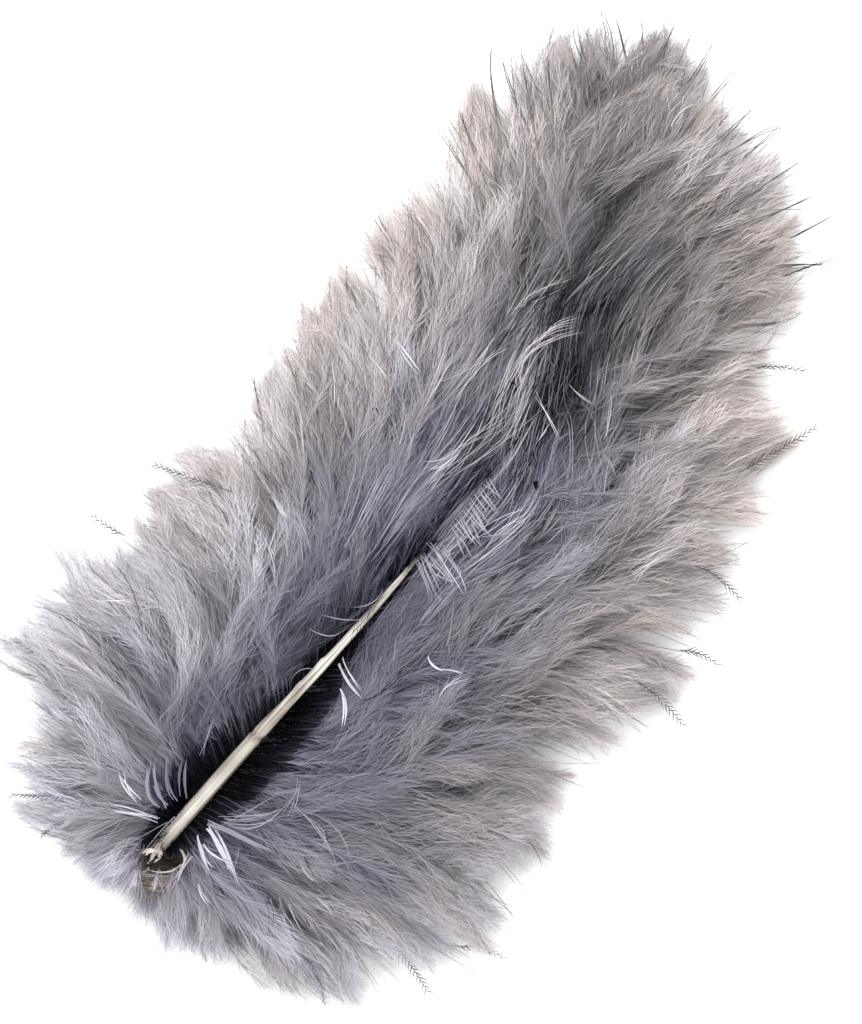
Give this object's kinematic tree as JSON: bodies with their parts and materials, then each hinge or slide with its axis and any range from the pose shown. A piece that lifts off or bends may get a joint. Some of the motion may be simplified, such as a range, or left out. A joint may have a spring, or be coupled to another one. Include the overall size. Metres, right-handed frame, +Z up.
{
  "type": "marabou feather",
  "caption": "Loose marabou feather: a cream quill lying in a trench of soft grey down that spreads in locks on both sides and closes over the shaft towards the tip.",
  "frame": {"origin": "middle of the feather's footprint, on the surface that it rests on", "axes": "+Y runs from the quill's cut end to the tip, +Z is up out of the surface"},
  "size_m": [0.0721, 0.1281, 0.0229],
  "materials": {
    "down": "soft grey down, lavender inside and warm pale grey at the tips",
    "quill": "satin cream horn"
  },
  "bodies": {
    "root": {"feather": "down"}
  },
  "joints": []
}
